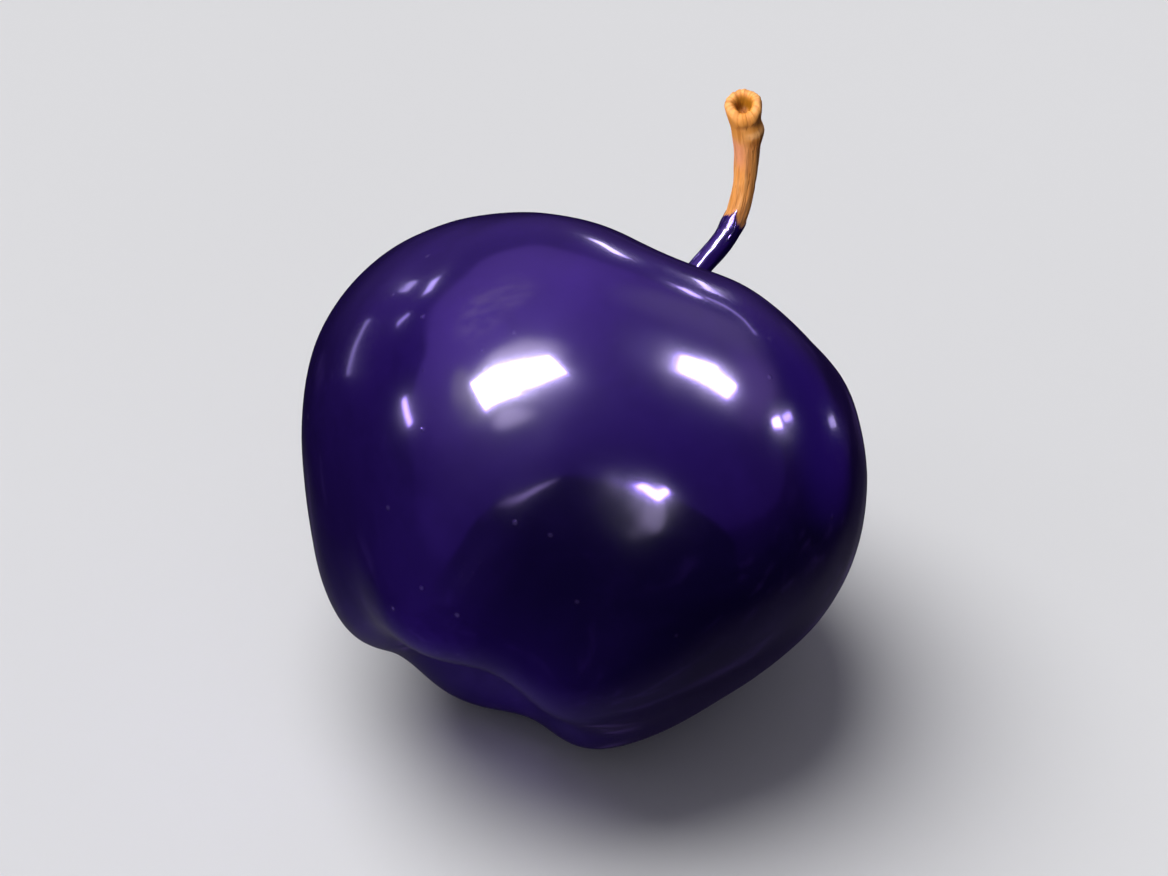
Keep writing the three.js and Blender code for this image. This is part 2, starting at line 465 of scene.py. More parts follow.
coat = {
    "deep": colour(0.0088, 0.0024, 0.064),
    "bright": colour(0.0180, 0.0054, 0.112),
    # painted shade: a darker coat colour for the stem cavity and the calyx basin
    "hollowShade": colour(0.0065, 0.0020, 0.042),
    "haze": colour(0.075, 0.048, 0.190),
    "pearl": colour(0.48, 0.34, 1.0),  # tint of what the coat mirrors
    "mirror": 2.3,  # its index, high because the coat is pearly
    "gloss": 0.085,  # roughness of the clear surface
    "smear": 0.022,  # roughness that smears add to it
    "glow": 0.205,  # roughness of the wider, softer shine over it
    "glowShare": 0.85,
    "peel": 0.0035,  # height of the fine waviness
    "finePeel": 0.12,  # share of that height in the finer waves
    "clouds": (19.0, 3.0, 0.55, 0.6),  # size, detail, roughness and warp, as for the patterns below
    "flecks": (2.2, 2.0, 0.6),
    "waves": (2.6, 1.0, 0.4),
    "fineWaves": (0.9, 1.0, 0.4),
    "smears": (11.0, 2.0, 0.6, 0.8),
    # where the painted shade of the two hollows lies
    "cavityShade": ((3.5, 13.0), (10.0, 20.0)),  # from the stem, and along the core
    "basinShade": ((4.0, 14.0), (15.0, 24.0)),  # from the core, and along it
    "hollowShadeShare": 0.85,
    "nib": 0.03,  # height of the few specks caught in the coat
    "nibSpacing": 4.2,
    "nibEdge": (0.02, 0.13),  # shares of the spacing
    "noNib": (0.74, 0.76),  # about three cells in four have none
    "nibHaze": 0.8,
    "nibRough": 0.08,
}


def coatLook(root, place, own):  # colour, roughness and height that every coated surface shares
    cloud = root.noise(place, *coat["clouds"])
    fleck = root.noise(place, *coat["flecks"])
    body = root.mixed(coat["deep"], coat["bright"], (cloud * 0.8 + fleck * 0.2).step(0.33, 0.68))
    x, y, z = own.apart()
    # Painted shade: the coat is darker in the stem cavity and in the calyx basin.
    across, upward = coat["cavityShade"]
    inCavity = (1 - fromStem(root, x, y).step(*across)) * z.step(*upward)
    across, downward = coat["basinShade"]
    inBasin = (1 - root.joined(x, y, 0.0).length().step(*across)) * (-z).step(*downward)
    body = root.mixed(body, coat["hollowShade"], inCavity.most(inBasin) * coat["hollowShadeShare"])

    # Specks of dust under the coat: a small cell here and there has one, with a paler skirt.
    values = {"Vector": place, "Scale": 1 / coat["nibSpacing"]}
    cells = root.node("ShaderNodeTexVoronoi", {"feature": "F1"}, values)
    which, _, _ = cells.other("Color").apart()
    nib = (1 - cells.step(*coat["nibEdge"])) * which.step(*coat["noNib"])
    body = root.mixed(body, coat["haze"], nib * coat["nibHaze"])

    waves = root.noise(place, *coat["waves"]) * coat["peel"]
    fineWaves = root.noise(place, *coat["fineWaves"]) * coat["peel"] * coat["finePeel"]
    smear = root.noise(place, *coat["smears"]).step(0.45, 0.75)
    rough = smear * coat["smear"] + coat["gloss"] + nib * coat["nibRough"]
    return body, rough, waves + fineWaves + nib * coat["nib"]


def coating(root, body, rough, height):
    return root.node("ShaderNodeBsdfPrincipled", {}, {
        "Base Color": body, "Roughness": rough, "Normal": bumped(root, height), "IOR": coat["mirror"],
        "Specular Tint": coat["pearl"], "Coat Weight": coat["glowShare"], "Coat Roughness": coat["glow"],
    })


def coatFinish():
    finish, root, place = newFinish("violetCoat")
    endFinish(root, coating(root, *coatLook(root, place, mark(root, "ownPlace", "Vector"))))
    return finish


fruit = grown("coatedSkin", lineMesh("skinProfile", skinProfile()), skinTree(coatFinish()), skinSizes)

# The whole apple is laid down by the same turn and move, which come from the flat spot and the solid's box.
laid = np.array([turning @ vertex.co for vertex in fruit.data.vertices])
solidLow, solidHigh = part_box("fruit")
move = (solidLow + solidHigh) / 2 - Vector((laid.min(0) + laid.max(0)) / 2) * mm
move.z = -laid[:, 2].min() * mm
laying = Matrix.Translation(move) @ turning @ Matrix.Scale(mm, 4)
fruit.data.transform(laying)
print("skin:", len(fruit.data.polygons), "faces, moved by", [round(value / mm, 2) for value in move], "mm")


stem = {
    "radius": 1.5,
    "footRadius": 1.7,
    "tipRadius": 2.6,
    "footGap": 0.3,  # clearance under the foot in its bore
    "routePoints": 600,
    "outlinePoints": 1600,
    "fibres": ((1.6, 0.07), 0.5, 2.0, 0.55),  # pace round the stem and along it, size, detail, roughness
    "knobs": ((1.6, 0.55), 2.3, 1.0, 0.5),
    "coatEdge": ((1.7, 0.12), 1.5, 2.0, 0.6),
    "tears": ((2.0, 0.0), 0.9, 2.0, 0.6),
    "coatEnd": 25.8,  # length from the foot at which the coat stops
    "coatWander": 7.0,  # how unevenly it stops
    "lipBack": 0.7,  # its rounded lip, back from the edge
    "lipShare": 0.6,
    "scarAt": 0.885,  # share of the length
    "scarAbove": 0.95,  # the scar is sharp above, and runs out below
    "scarBelow": 2.5,
    "notchTurn": math.radians(216),  # where the mouth is torn open, round the stem
    "torn": (4.0, 0.4),  # lengths back from the tip between which each of these begins
    "hollow": (2.6, 1.8),
    "rim": (0.9, 0.2),
    "hollowRadii": (1.0, 1.6),
    "rimRadii": (1.45, 1.75),
    "scarSide": (0.25, 0.85),  # how squarely the bark faces the scar's side
    # a painted highlight along the scar's upper edge, and painted shade below it
    "ridge": ((-0.5, 0.0), (0.5, 1.1)),  # lengths from the scar
    "under": ((-2.4, -1.5), (-1.0, -0.4)),
    # where the painted pink sheen lies on one side of the stem, and where the ochre begins
    "rosy": ((0.72, 0.79), (0.83, 0.88)),  # shares of the length
    "ochre": (0.82, 0.90),
    "weld": 0.0006,
}
stemSizes = {
    "Around": 72,
    "Along": 330,
    "Fibre Height": 0.16,
    "Knob Height": 0.16,
    "Scar Height": 0.62,
    "Coat Depth": 0.13,
    "Torn": 0.55,
    "Notch": 0.6,
}


def stemRoute():
    top = skin["shoulderHeight"]
    foot = skin["cavityHeight"] - skin["boreDepth"] + stem["footGap"]
    points = [
        (0, 0, foot), (0, 0, skin["cavityHeight"] + 2), (0, 0, top + 2), (-0.1, -2, top + 10.2),
        (-4, -2.2, top + 17.4), (-9.2, -1.8, top + 21.6), (-15, -1.4, top + 24.6),
    ]
    return smoothLine(points, stem["routePoints"])


def stemOutline(length):
    r, foot, tip = stem["radius"], stem["footRadius"], stem["tipRadius"]
    outer = [
        (foot, 0), (1.74, 4.7), (r * 1.05, 9), (r * 0.98, length * 0.4), (r * 1.03, length * 0.62),
        (r * 1.2, length * 0.8), (tip * 0.86, length * 0.92), (tip * 0.99, length * 0.972),
        (tip * 0.93, length * 0.996), (tip * 0.76, length + 0.05), (tip * 0.54, length - 0.25),
        (tip * 0.41, length - 1.0), (tip * 0.30, length - 2.0), (0, length - 2.4),
    ]
    return upright([(0, 0), *smoothLine(outer, stem["outlinePoints"])])


def stemTree(material, length):
    root, given = newTree("bentStem", stemSizes)
    grid, angle, share = sheet(root, given["Around"], given["Along"])
    radius, _, along = pointAt(root, shapeOf(root, given["Outline"]), share).apart()
    cosine, sine = angle.cosine(), angle.sine()

    def nearTip(first, last):  # rises between two lengths back from the tip
        return along.step(length - first, length - last)

    # Fibres run along it, knobs swell it a little, and a leaf scar stands out below the flare.
    fibre = uneven(root, angle, along, stem["fibres"])
    knob = uneven(root, angle, along, stem["knobs"])
    fromScar = along - length * stem["scarAt"]
    apart = (fromScar / stem["scarAbove"]).most(fromScar / -stem["scarBelow"])
    scar = root.maths("EXPONENT", -(apart * apart)) * (-sine).most(0.0) ** 1.4

    # The coat stops at an uneven edge with a rounded lip.
    toEdge = along + uneven(root, angle, along, stem["coatEdge"]) * stem["coatWander"] - stem["coatEnd"]
    coated = 1 - toEdge.step(-0.35, 0.25)
    fromLip = toEdge + stem["lipBack"]
    lip = root.maths("EXPONENT", -(fromLip * fromLip)) * stem["lipShare"]

    # The flared end is torn, so its rim is uneven, and it is open at one side.
    tip = nearTip(*stem["torn"])
    torn = uneven(root, angle, along, stem["tears"]) * given["Torn"] * 2.0
    notch = (angle - stem["notchTurn"]).cosine().most(0.0) ** 1.5
    bare = 1 - coated * 0.75  # the coat evens out most of the fibres
    wide = radius + fibre * given["Fibre Height"] * bare * 2.0 + knob * given["Knob Height"] * 2.0
    wide = wide + scar * given["Scar Height"] + (coated + lip) * given["Coat Depth"] + torn * tip * 0.35
    inside = 1 - share.step(0.0, 0.02)
    wide = wide.most(0.0) * radius.step(0.0, 0.6) * (1 - inside)
    middle = pointAt(root, shapeOf(root, given["Route"]), along, "LENGTH")
    tangent = middle.other("Tangent")
    side = root.vector("NORMALIZE", root.vector("CROSS_PRODUCT", (0.0, 1.0, 0.0), tangent))
    front = root.vector("CROSS_PRODUCT", tangent, side)
    spot = middle.plus(
        root.scaled(side, wide * cosine), root.scaled(front, wide * sine),
        root.scaled(tangent, (torn - notch * wide * given["Notch"]) * tip), tuple(stemOffset),
    )

    # What the finish reads.
    onSide = (-sine).most(0.0).step(*stem["scarSide"])
    share = along / length
    marks = {
        "coated": coated,
        "hollow": (1 - radius.step(*stem["hollowRadii"])) * nearTip(*stem["hollow"]),
        "rim": radius.step(*stem["rimRadii"]) * nearTip(*stem["rim"]) * (1 - notch),
        # painted highlight on the scar's upper edge, and painted shade under the scar
        "ridge": onSide * fromScar.band(*stem["ridge"]),
        "under": onSide * fromScar.band(*stem["under"]),
        # painted pink sheen on one side of the stem's middle
        "rosy": share.band(*stem["rosy"]) * sine.step(-0.9, 0.2),
        "ochre": share.step(*stem["ochre"]),
    }
    (around, _), *_ = stem["fibres"]
    grain = root.joined(cosine * around, sine * around, along)
    marked = stored(root, grid, "grain", grain, "FLOAT_VECTOR")
    for name, value in marks.items():
        marked = stored(root, marked, name, value)
    return endTree(root, wrapped(root, marked, spot, stem["weld"]), material)


bark = {
    "pale": colour(0.98, 0.47, 0.15),
    "tan": colour(0.92, 0.36, 0.075),
    "brown": colour(0.50, 0.15, 0.022),
    "hollow": colour(0.38, 0.145, 0.004),
    "rim": colour(1.0, 0.52, 0.20),
    # painted pink sheen
    "rosy": colour(0.92, 0.36, 0.18),
    "ochre": colour(0.88, 0.33, 0.035),
    "roughness": 0.58,
    "roughSpread": 0.25,
    "shine": 0.12,
    "streaks": (0.32, 3.0, 0.6),  # size, detail and roughness, as for the patterns below
    "patches": (2.0, 2.0, 0.5),
    "grooves": (0.42, 2.0, 0.55),
    "fineFibres": (0.14, 2.0, 0.5),
    "fibre": 0.05,  # height of the fine fibres
    "poreSpacing": 0.8,
    "poreEdge": (0.10, 0.22),  # shares of the spacing
    "pore": 0.03,  # depth of the pores
    "underCoat": 0.12,  # share of the fibres' height that still shows in the coat
}


def stemFinish():
    finish, root, place = newFinish("stemWood")
    grain = mark(root, "grain", "Vector")
    long = grain.stretched(1.0, 1.0, 0.05)
    streak = root.noise(long, *bark["streaks"])
    patch = root.noise(grain.stretched(1.0, 1.0, 0.35), *bark["patches"])
    groove = root.noise(grain.stretched(1.0, 1.0, 0.09), *bark["grooves"]).step(0.50, 0.64)
    values = {"Vector": grain.stretched(1.0, 1.0, 0.4), "Scale": 1 / bark["poreSpacing"]}
    pore = 1 - root.node("ShaderNodeTexVoronoi", {"feature": "F1"}, values).step(*bark["poreEdge"])

    # One tone over another, each with its share. Some of them are painted light: a pink sheen, a highlight on
    # the scar's upper edge and shade under it.
    wood = root.mixed(bark["tan"], bark["pale"], streak.step(0.40, 0.68))
    layers = (
        ("brown", (patch * 0.6 + streak * 0.4).step(0.50, 0.72) * 0.55),
        ("ochre", mark(root, "ochre") * 0.5),
        ("rosy", mark(root, "rosy") * 0.8),
        ("rim", mark(root, "rim") * 0.55),
        ("brown", groove * 0.42),
        ("brown", pore * 0.5),
        # painted highlight on the scar's upper edge, then painted shade under it
        ("pale", mark(root, "ridge")),
        ("brown", mark(root, "under") * 0.6),
        ("hollow", mark(root, "hollow")),
    )
    for tone, share in layers:
        wood = root.mixed(wood, bark[tone], share)
    fibre = streak * 0.7 + root.noise(long, *bark["fineFibres"]) * 0.3 - groove * 0.9
    fibre = fibre * bark["fibre"] - pore * bark["pore"]
    bare = root.node("ShaderNodeBsdfPrincipled", {}, {
        "Base Color": wood, "Roughness": bark["roughness"] + (patch - 0.5) * bark["roughSpread"],
        "Normal": bumped(root, fibre), "Specular IOR Level": bark["shine"],
    })
    nowhere = root.joined(0.0, 0.0, 0.0)  # the painted shade of the cavity and basin falls nowhere on the stem
    body, rough, height = coatLook(root, place, nowhere)
    coated = coating(root, body, rough, height + fibre * bark["underCoat"])
    endFinish(root, blended(root, bare, coated, mark(root, "coated")))
    return finish


route = stemRoute()
stemLength = float(np.linalg.norm(np.diff(route, axis=0), axis=1).sum())
stemSizes["Route"] = helper("stemRoute", route)
stemSizes["Outline"] = helper("stemOutline", stemOutline(stemLength))
stalk = grown("bentStem", bpy.data.meshes.new("stemStart"), stemTree(stemFinish(), stemLength), stemSizes)
stalk.data.transform(laying)
print("stem:", round(stemLength, 1), "mm long,", len(stalk.data.polygons), "faces")


# The dried calyx: a cupped button, five curled sepals and a tuft of stamens.
calyx = {
    "seat": 3.0,  # radius of the button
    "top": -25.9,
    "outlinePoints": 300,
    "sepalGrid": (25, 34),  # vertices round and along
    "stamenGrid": (9, 16),
    "buttonGrid": (49, 60),
    "ringRadius": 1.25,  # of the sepals' feet, with the stamens inside it
    "tuftRadius": 0.5,  # the stamens nearest to the middle
    "sepalFoot": 0.6,  # height of their feet over the basin's floor
    "stamenFoot": 0.3,
    "sepalTurns": (-0.16, 0.16),  # how the sepals differ, in radians, and in scale below
    "sepalTilts": (-0.12, 0.16),
    "sepalRolls": (-0.25, 0.25),
    "sepalScales": (0.88, 1.02),
    "stamenTurns": (-0.2, 0.2),
    "stamenTilts": (-0.3, 0.35),
    "stamenRolls": (-3.1, 3.1),
    "stamenScales": (0.7, 1.1),
    "hook": 0.5,  # extra curl at a sepal's point
    "cup": 0.28,  # how far a sepal's edges lift, as a share of its width there
    "keel": 0.10,  # depth of the fold along its middle
    "crimp": 0.5,
    "crimps": (1.1, 2.0, 0.5),
    "stamenKnob": 0.16,
    "stamenBend": 0.35,
    "wrinkles": (0.8, 2.0, 0.6),
    "sepalWeld": 0.002,
    "stamenWeld": 0.0005,
    "buttonWeld": 0.001,
}
calyxSizes = {
    "Sepals": 5,
    "Sepal Length": 5.3,
    "Sepal Width": 3.7,
    "Sepal Thickness": 0.55,
    "Curl": 1.5,
    "Lean": 0.27,
    "Stamens": 15,
    "Stamen Length": 2.6,
    "Stamen Width": 0.32,
    "Wrinkle": 0.14,
    "Turn": math.radians(28),
    "Seed": 7,
}


def buttonOutline():
    basin, seat, top = skin["basinHeight"], calyx["seat"], calyx["top"]
    outline = [
        (0, basin - 0.1), (seat * 0.3, basin - 0.15), (seat * 0.55, basin - 0.7),
        (seat * 0.8, basin - 0.95), (seat * 0.98, basin - 0.3), (seat, basin + 0.6),
        (seat * 0.97, top - 0.2), (seat * 0.7, top), (0, top),
    ]
    return upright(smoothLine(outline, calyx["outlinePoints"]))


def calyxTree(material):
    root, given = newTree("driedCalyx", calyxSizes)
    basin = skin["basinHeight"]
    number = root.node("GeometryNodeInputIndex")

    def chance(span, seed):  # a different number for each instance
        low, high = span
        return root.node(
            "FunctionNodeRandomValue", {"data_type": "FLOAT"},
            {"Min_001": low, "Max_001": high, "ID": number, "Seed": given["Seed"] + seed}, "Value_001",
        )

    def planted(blade, count, spots, turns, size):  # a copy of the blade on each spot
        points = root.node("GeometryNodePoints", {}, {"Count": count, "Position": spots})
        rotation = root.node("FunctionNodeEulerToRotation", {}, {"Euler": root.joined(*turns)})
        scale = root.joined(size, size, size)
        values = {"Points": points, "Instance": blade, "Rotation": rotation, "Scale": scale}
        return root.node("GeometryNodeInstanceOnPoints", {}, values)

    def ringSpot(turn, radius, height):
        return root.joined(-turn.sine() * radius, turn.cosine() * radius, basin + height)

    # One sepal: broad near its foot, drawn to a point, folded along its middle and curled at the end.
    grid, angle, share = sheet(root, *calyx["sepalGrid"])
    ends = share.step(0.0, 0.05) * (1 - share ** 9.0)
    half = ((share * 0.80 + 0.20) * math.pi).sine() * given["Sepal Width"] * 0.5
    thin = given["Sepal Thickness"] * 0.5 * (1 - share * 0.6) * ends
    across = angle.cosine()
    x = across * half * share.step(-0.05, 0.05)
    hook = share ** 2.0 * given["Curl"] + share ** 6.0 * calyx["hook"]
    keel = root.maths("EXPONENT", across * across * -30.0) * calyx["keel"] * ends
    lift = across * across * half * calyx["cup"] - keel
    crimp = (root.noise(root.joined(x, share * 6.0, 0.0), *calyx["crimps"]) - 0.5) * calyx["crimp"]
    z = angle.sine() * thin + hook + lift + crimp * share.step(0.1, 0.5)
    blade = wrapped(root, grid, root.joined(x, share * given["Sepal Length"], z), calyx["sepalWeld"])
    turn = number * (2 * math.pi / calyxSizes["Sepals"]) + given["Turn"] + chance(calyx["sepalTurns"], 1)
    spots = ringSpot(turn, calyx["ringRadius"], calyx["sepalFoot"])
    tilt = given["Lean"] - math.pi / 2 + chance(calyx["sepalTilts"], 2)
    turns = (tilt, chance(calyx["sepalRolls"], 3), turn)
    leaves = planted(blade, given["Sepals"], spots, turns, chance(calyx["sepalScales"], 4))

    # Stamens: dry threads with a small knob, in a tuft.
    grid, angle, share = sheet(root, *calyx["stamenGrid"])
    knob = share.band((0.72, 0.86), (0.9, 1.0)) * calyx["stamenKnob"]
    thread = given["Stamen Width"] * 0.5 * (1 - share * 0.35) + knob
    thread = thread * share.step(0.0, 0.03) * (1 - share ** 20.0)
    x = angle.cosine() * thread + share * share * calyx["stamenBend"]
    spot = root.joined(x, share * given["Stamen Length"], angle.sine() * thread)
    hair = wrapped(root, grid, spot, calyx["stamenWeld"])
    turn = number * (2 * math.pi / calyxSizes["Stamens"]) + chance(calyx["stamenTurns"], 5)
    ring = chance((calyx["tuftRadius"], calyx["ringRadius"]), 6)
    spots = ringSpot(turn, ring, calyx["stamenFoot"])
    turns = (chance(calyx["stamenTilts"], 7) - math.pi / 2, chance(calyx["stamenRolls"], 8), turn)
    tuft = planted(hair, given["Stamens"], spots, turns, chance(calyx["stamenScales"], 9))

    # The button that they stand in.
    grid, angle, share = sheet(root, *calyx["buttonGrid"])
    radius, _, height = pointAt(root, shapeOf(root, given["Button"]), share).apart()
    spot = root.joined(radius * angle.cosine(), radius * angle.sine(), height)
    button = wrapped(root, grid, spot, calyx["buttonWeld"])

    join = root.tree.nodes.new("GeometryNodeJoinGeometry")
    for part in (leaves, tuft, button):
        root.tree.links.new(part.socket, join.inputs[0])
    whole = root.node("GeometryNodeRealizeInstances", {}, {"Geometry": Wire(root.tree, join.outputs[0])})
    place = root.node("GeometryNodeInputPosition")
    crease = (root.noise(place, *calyx["wrinkles"]) - 0.5) * given["Wrinkle"]
    whole = pushed(root, whole, root.scaled(root.node("GeometryNodeInputNormal"), crease))
    return endTree(root, stored(root, whole, "ownPlace", place, "FLOAT_VECTOR"), material)


dried = {
    "leaf": colour(0.045, 0.018, 0.110),
    "edge": colour(0.170, 0.075, 0.080),
    "mottles": (0.9, 3.0, 0.6),  # size, detail and roughness
    "veins": (0.45, 2.0, 0.5),
    "coated": 0.45,  # share of the coat's own colour
    "vein": 0.05,  # height of the veins
    "veinRough": 0.12,
}


def calyxFinish():
    finish, root, place = newFinish("coatedCalyx")
    own = mark(root, "ownPlace", "Vector")
    body, rough, height = coatLook(root, place, own)
    mottle = root.noise(place, *dried["mottles"]).step(0.50, 0.75)
    body = root.mixed(root.mixed(dried["leaf"], dried["edge"], mottle), body, dried["coated"])
    vein = root.noise(own.stretched(1.0, 1.0, 0.25), *dried["veins"])
    rough = rough + vein * dried["veinRough"]
    endFinish(root, coating(root, body, rough, height + vein * dried["vein"]))
    return finish


calyxSizes["Button"] = helper("buttonOutline", buttonOutline())
rosette = grown("driedCalyx", bpy.data.meshes.new("calyxStart"), calyxTree(calyxFinish()), calyxSizes)
rosette.data.transform(laying)
print("calyx:", len(rosette.data.polygons), "faces")

for line in [stemSizes.pop("Route"), stemSizes.pop("Outline"), calyxSizes.pop("Button")]:
    bpy.data.objects.remove(line)

for piece, node, slot in (
    (fruit, "fruit", "violet_coat"), (stalk, "stem", "stem_wood"), (rosette, "calyx", "coated_calyx"),
):
    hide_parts(node)
    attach(piece, "root")
stalk.visible_glossy = False  # the skin doesn't mirror the stem
print("pieces dressed and riding")


ground = {
    "pale": colour(0.70, 0.70, 0.71),
    "paler": colour(0.76, 0.76, 0.77),
    "clouds": (240.0, 2.0, 0.5),  # size, detail and roughness of its slight unevenness
    "roughness": 0.85,
    "shine": 0.1,
    "reach": 4.0,  # metres from the middle to each side
    "depth": 0.0002,  # metres below the table's height, so that it doesn't touch the flat spot
    "near": (15.0, 85.0),  # millimetres from its middle, over which the coat stops mirroring it
    "mirrored": 0.13,  # how much of it the coat mirrors, close by
}


# A pale floor. The coat mirrors it faintly, and only close by, so that the underside stays dark.
def floorFinish():
    finish, root, place = newFinish("paleFloor")
    pale = root.node("ShaderNodeBsdfPrincipled", {}, {
        "Base Color": root.mixed(ground["pale"], ground["paler"], root.noise(place, *ground["clouds"])),
        "Roughness": ground["roughness"], "Specular IOR Level": ground["shine"],
    })
    close = 1 - place.length().step(*ground["near"])
    mirrored = root.node("ShaderNodeLightPath", {}, {}, "Is Glossy Ray")
    hidden = mirrored * (1 - close * ground["mirrored"])
    endFinish(root, blended(root, pale, root.node("ShaderNodeBsdfTransparent"), hidden))
    return finish


def makeFloor():
    reach, depth = ground["reach"], ground["depth"]
    corners = [(x * reach, y * reach, -depth) for x, y in ((-1, -1), (1, -1), (1, 1), (-1, 1))]
    mesh = bpy.data.meshes.new("floor")
    mesh.from_pydata(corners, [], [(0, 1, 2, 3)])
    mesh.materials.append(floorFinish())
    made = bpy.data.objects.new("floor", mesh)
    bpy.context.scene.collection.objects.link(made)
    made.visible_diffuse = False  # it throws no soft light back on the apple
    return made


floor = makeFloor()

middle = (solidBox[0] + solidBox[1]) / 2


def panel(name, toward, along, spans, strength, tint):  # a rectangle of light, spans degrees long and wide
    toward = Vector(toward).normalized()
    light = bpy.data.lights.new(name, "AREA")
    light.shape = "RECTANGLE"
    light.size, light.size_y = (2 * math.tan(math.radians(span) / 2) for span in spans)
    light.energy = strength * math.pi * light.size * light.size_y
    light.color = tint
    across = (Vector(along) - toward * toward.dot(Vector(along))).normalized()
    facing = Matrix((across, toward.cross(across), toward)).transposed().to_4x4()
    lamp = bpy.data.objects.new(name, light)
    lamp.matrix_world = Matrix.Translation(middle + toward) @ facing
    lamp.visible_camera = False
    lamp.visible_diffuse = False
    bpy.context.scene.collection.objects.link(lamp)


# What shines in the coat: the way to each light from the apple, its long side, its spans and its strength.
violetWhite = (0.78, 0.70, 1.0)
shines = {
    "leftBox": ((-0.524, -0.394, 0.755), (0.868, 0.208, 0.450), (21, 16.5), 46.0),
    "leftBoxTop": ((-0.339, -0.271, 0.901), (0.889, 0.224, 0.400), (30, 7), 46.0),
    "leftBoxEnd": ((-0.239, -0.313, 0.919), (0.771, 0.409, 0.488), (25, 11.5), 46.0),
    "rightBox": ((0.668, 0.070, 0.742), (-0.729, 0.354, 0.585), (12, 7.6), 46.0),
    "rightBoxEnd": ((0.612, 0.112, 0.785), (-0.756, 0.015, 0.653), (6.5, 8.6), 46.0),
    "rightLow": ((0.953, 0.096, 0.289), (0.13, 0.74, -0.66), (6, 3), 30.0),
    "rightSpark": ((0.956, 0.200, 0.210), (0.06, -0.78, 0.62), (5, 1.6), 13.0),
    "rightFar": ((0.774, 0.563, -0.289), (-0.60, 0.52, -0.60), (8, 2.2), 2.6),
    "leftLow": ((-0.984, -0.031, 0.175), (0, 1, 0.1), (11, 2.4), 16.0),
    "frontDash": ((0.216, -0.904, 0.370), (0.54, -0.20, -0.82), (4.8, 1.4), 50.0),
    "frontTick": ((0.266, -0.893, 0.363), (0.841, 0.392, 0.372), (6, 1.7), 50.0),
    "backLeftHigh": ((-0.58, 0.77, 0.25), (0.65, 0.63, -0.42), (8, 3), 5.0),
    "backLeftDot": ((-0.56, 0.83, 0.04), (0.83, 0.56, 0.07), (3.4, 2), 3.2),
    "backLeftSide": ((-0.78, 0.59, 0.20), (0.47, 0.34, 0.81), (6, 2.5), 3.2),
    "backLeftLow": ((-0.78, 0.61, -0.14), (0.47, 0.72, 0.51), (16, 2), 1.7),
    "backHigh": ((0.205, 0.967, 0.151), (0.53, -0.24, 0.81), (8.5, 2.4), 9.5),
    "backRight": ((0.443, 0.826, 0.347), (0.72, -0.50, 0.35), (4.6, 1.9), 12.0),
    "backRightLow": ((0.375, 0.92, 0.09), (0.45, -0.30, 0.84), (11, 1.2), 9.0),
    "backRightLine": ((0.58, 0.75, 0.31), (0.78, -0.62, 0.04), (16, 1.2), 3.0),
}
for name, (toward, along, spans, strength) in shines.items():
    panel(name, toward, along, spans, strength, violetWhite)


def lampFrom(light, toward, reached=()):  # shines from a direction, on the reached pieces or on everything
    lamp = bpy.data.objects.new(light.name, light)
    lamp.rotation_euler = Vector(toward).to_track_quat("Z", "Y").to_euler()
    bpy.context.scene.collection.objects.link(lamp)
    if reached:
        receivers = bpy.data.collections.new(light.name)
        for piece in reached:
            receivers.objects.link(piece)
        lamp.light_linking.receiver_collection = receivers
    return lamp


def sunlight(name, energy, angle):
    light = bpy.data.lights.new(name, "SUN")
    light.energy = energy
    light.angle = math.radians(angle)
    return light


def spotlight(name, energy, angle, radius):
    light = bpy.data.lights.new(name, "SPOT")
    light.energy = energy
    light.spot_size = math.radians(angle)
    light.spot_blend = 1.0
    light.shadow_soft_size = radius
    return light


# One broad light from above shapes the body and the floor. Another reaches only the stem. Each has its
# strength, its spread in degrees, the way to it, the pieces it is kept to, and whether it is mirrored.
suns = {
    "sky": (2.75, 48, (-0.30, 0.20, 0.93), [], False),
    "stemSide": (2.3, 20, (-0.52, -0.73, 0.44), [stalk], True),
}
for name, (strength, spread, toward, reached, mirrored) in suns.items():
    lampFrom(sunlight(name, strength, spread), toward, reached).visible_glossy = mirrored

# Two narrow lights close to the floor look into the basin. The skin doesn't mirror them.
nearFloor = {
    "strength": 0.4,
    "rise": 0.08,  # of the way to them, so that they stand low
    "distance": 0.12,
    "lights": {  # spread in degrees, radius, the piece that it reaches, and whether that mirrors it
        "basinSide": (28, 0.009, fruit, False),
        "calyxSide": (14, 0.006, rosette, True),
    },
}
basinFloor = laying @ Vector((0, 0, skin["basinHeight"]))
outward = (basinFloor - laying @ Vector((0, 0, 0))).normalized()
fromBasin = Vector((outward.x, outward.y, nearFloor["rise"])).normalized()
for name, (spread, radius, piece, mirrored) in nearFloor["lights"].items():
    lamp = lampFrom(spotlight(name, nearFloor["strength"], spread, radius), fromBasin, [piece])
    lamp.location = basinFloor + fromBasin * nearFloor["distance"]
    lamp.visible_glossy = mirrored


# The rest of what the coat mirrors: a dim room over a lower, darker part, and a dark shape low in front.
studio = {
    "room": colour(0.07, 0.026, 0.22),
    "roomLit": colour(0.40, 0.24, 0.78),
    "litSide": (-0.70, 0.45, 0.55),
    "below": colour(0.035, 0.010, 0.12),
    "belowBack": colour(0.12, 0.07, 0.28),
    "edgeRise": 0.43,  # how much higher the lower part reaches at the back
    "edgeDrop": 0.03,
    "dark": colour(0.006, 0.003, 0.018),
    "darkFaint": colour(0.045, 0.027, 0.10),
    "darkMiddle": (-0.01, -0.94, -0.34),
    "darkEdge": (0.705, 0.735),
    "brushed": colour(0.9, 0.8, 0.9),
    "brushedOval": ((-0.446, 0.447, 0.776), (0.6, 0.5, 0.1), (26, 15)),
    "brushedShare": 0.7,
    "softLow": colour(0.03, 0.03, 0.03),  # what lights the matt surfaces
    "softHigh": colour(0.16, 0.16, 0.17),
    "backdrop": colour(0.70, 0.70, 0.724),  # what the camera sees past the floor
}
